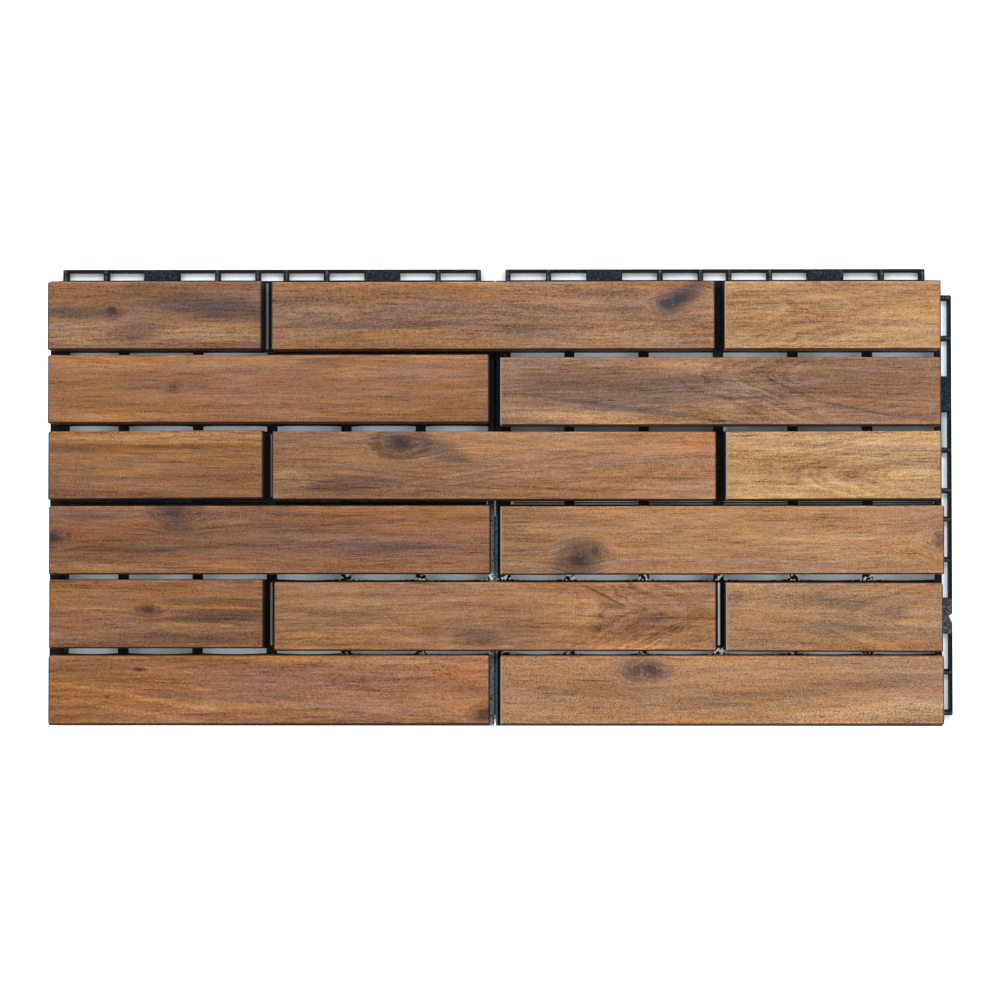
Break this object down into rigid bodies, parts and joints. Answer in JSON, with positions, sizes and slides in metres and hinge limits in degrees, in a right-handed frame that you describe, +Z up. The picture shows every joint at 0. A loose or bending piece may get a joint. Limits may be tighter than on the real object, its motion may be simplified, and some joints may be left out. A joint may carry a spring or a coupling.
{
  "type": "interlocking deck tile",
  "caption": "Interlocking deck tile: oiled hardwood slats in a brick pattern on two clipped black plastic grid bases.",
  "frame": {"origin": "bottom centre of the bounding box, at floor level under the middle of the footprint, loop strips included", "axes": "+Z up through the walking surface, +X along the slats towards the side with a loop strip, +Y towards the long side with the loop strips"},
  "size_m": [0.6076, 0.3078, 0.024],
  "materials": {
    "oiled_hardwood": "oiled, satin",
    "black_plastic": "matte, moulded",
    "screw_steel": "zinc plated"
  },
  "bodies": {
    "root": {"base_left": "black_plastic", "base_right": "black_plastic", "slat_row_1_left": "oiled_hardwood", "slat_row_1_middle": "oiled_hardwood", "slat_row_1_right": "oiled_hardwood", "slat_row_2_left": "oiled_hardwood", "slat_row_2_right": "oiled_hardwood", "slat_row_3_left": "oiled_hardwood", "slat_row_3_middle": "oiled_hardwood", "slat_row_3_right": "oiled_hardwood", "slat_row_4_left": "oiled_hardwood", "slat_row_4_right": "oiled_hardwood", "slat_row_5_left": "oiled_hardwood", "slat_row_5_middle": "oiled_hardwood", "slat_row_5_right": "oiled_hardwood", "slat_row_6_left": "oiled_hardwood", "slat_row_6_right": "oiled_hardwood", "slat_screws": "screw_steel"}
  },
  "joints": []
}
